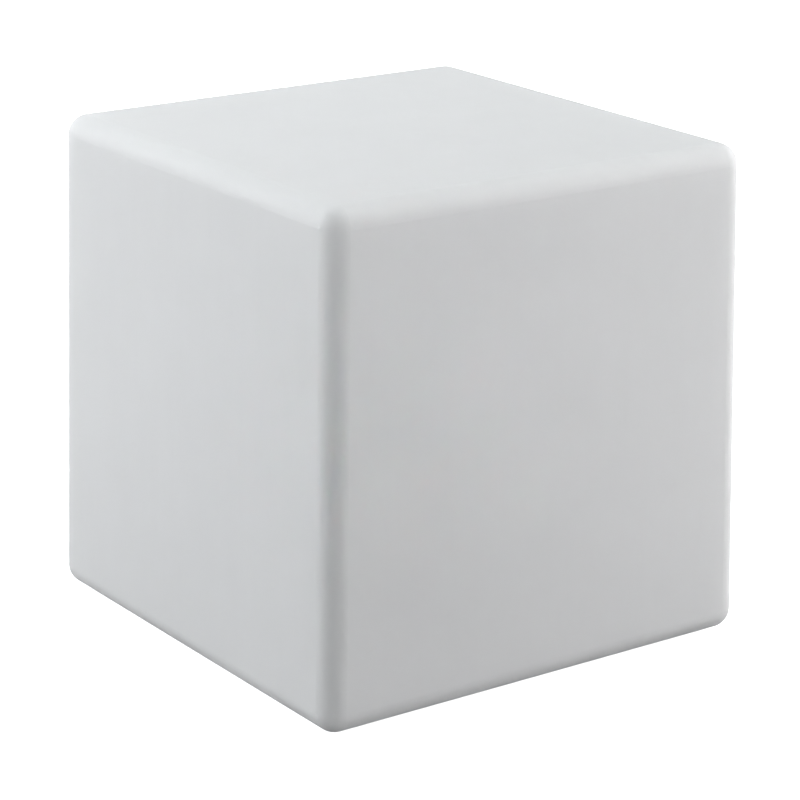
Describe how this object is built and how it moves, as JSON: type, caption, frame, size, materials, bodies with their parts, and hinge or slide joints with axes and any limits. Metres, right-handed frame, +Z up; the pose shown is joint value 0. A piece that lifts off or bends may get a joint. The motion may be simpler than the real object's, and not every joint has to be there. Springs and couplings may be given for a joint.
{
  "type": "led cube light",
  "caption": "Free-standing translucent cube light with rounded edges and a screwed-in rechargeable light unit under a round recess.",
  "frame": {"origin": "on the ground, under the middle of the cube", "axes": "+Z up; -Y and -X are the two sides that the picture shows; X and Y run along the cube's sides"},
  "size_m": [0.2996, 0.2996, 0.302],
  "materials": {
    "shell": "translucent rotomoulded polyethylene, fine matte grain",
    "brass": "turned",
    "seal_rubber": "moulded, matte",
    "foot_rubber": "moulded, matte",
    "housing_plastic": "injection moulded, spark-eroded texture",
    "stainless": "cold-headed stainless",
    "vent_plastic": "moulded",
    "socket_metal": "nickel plated",
    "cap_silicone": "moulded silicone",
    "button_plastic": "moulded",
    "switch_plastic": "glass-filled nylon",
    "plunger_plastic": "moulded",
    "light_pipe": "clear polished acrylic",
    "lamp_package": "phosphor and silicone in a white package",
    "board_green": "solder mask",
    "board_white": "white solder mask on aluminium",
    "shield_tin": "tinned sheet",
    "coil_ferrite": "sintered ferrite",
    "capacitor_can": "drawn can",
    "header_nylon": "natural nylon",
    "holder_plastic": "flame-retardant moulding",
    "cell_wrap": "heat-shrink film",
    "wire_red": "insulation",
    "wire_black": "insulation",
    "harness_sheath": "sheath",
    "deck_aluminium": "stamped sheet",
    "dome_seal": "silicone",
    "dome_polycarbonate": "frosted polycarbonate"
  },
  "bodies": {
    "light": {"base_gasket": "seal_rubber", "base_housing": "housing_plastic", "base_screws": "stainless", "battery_cell_1": "cell_wrap", "battery_cell_2": "cell_wrap", "battery_cell_3": "cell_wrap", "battery_cell_4": "cell_wrap", "battery_header": "header_nylon", "battery_lead_black": "wire_black", "battery_lead_red": "wire_red", "board_screws": "stainless", "cap_hinge_pin": "stainless", "cell_holder_lower": "holder_plastic", "cell_holder_upper": "holder_plastic", "cell_links": "shield_tin", "charge_header": "header_nylon", "charge_lead_black": "wire_black", "charge_lead_red": "wire_red", "charge_socket": "socket_metal", "colour_leds": "lamp_package", "control_board": "board_green", "control_chip": "switch_plastic", "cool_white_leds": "lamp_package", "deck_screws": "stainless", "diffuser_dome": "dome_polycarbonate", "dome_seal": "dome_seal", "drive_transistors": "switch_plastic", "filter_capacitors": "capacitor_can", "foot_front_left": "foot_rubber", "foot_front_right": "foot_rubber", "foot_rear_left": "foot_rubber", "foot_rear_right": "foot_rubber", "heat_spreader": "deck_aluminium", "led_board": "board_white", "led_board_screws": "stainless", "led_connector": "header_nylon", "led_harness": "harness_sheath", "led_header": "header_nylon", "light_pipe": "light_pipe", "mode_switch": "switch_plastic", "pack_tie_screw": "stainless", "power_coil": "coil_ferrite", "power_switch": "switch_plastic", "protection_board": "board_green", "radio_module": "board_green", "radio_shield": "shield_tin", "sealing_washers": "seal_rubber", "shell": "shell", "socket_nut": "socket_metal", "socket_seal": "seal_rubber", "status_led": "lamp_package", "threaded_inserts": "brass", "vent_plug": "vent_plastic", "warm_white_leds": "lamp_package"},
    "power_button": {"power_button": "button_plastic", "power_plunger": "plunger_plastic"},
    "mode_button": {"mode_button": "button_plastic", "mode_plunger": "plunger_plastic"},
    "port_cap": {"port_cap": "cap_silicone"}
  },
  "joints": [
    {"name": "power_press", "type": "slide", "parent": "light", "child": "power_button", "axis": [0, 0, 1], "range_m": [0, 0.001], "stiffness_N_per_m": 1500, "springref_m": -0.0006},
    {"name": "mode_press", "type": "slide", "parent": "light", "child": "mode_button", "axis": [0, 0, 1], "range_m": [0, 0.001], "stiffness_N_per_m": 1500, "springref_m": -0.0006},
    {"name": "port_cap_swing", "type": "hinge", "parent": "light", "child": "port_cap", "pos_m": [0.046, -0.018, 0.00525], "axis": [0, -1, 0], "range_deg": [0, 110]}
  ]
}
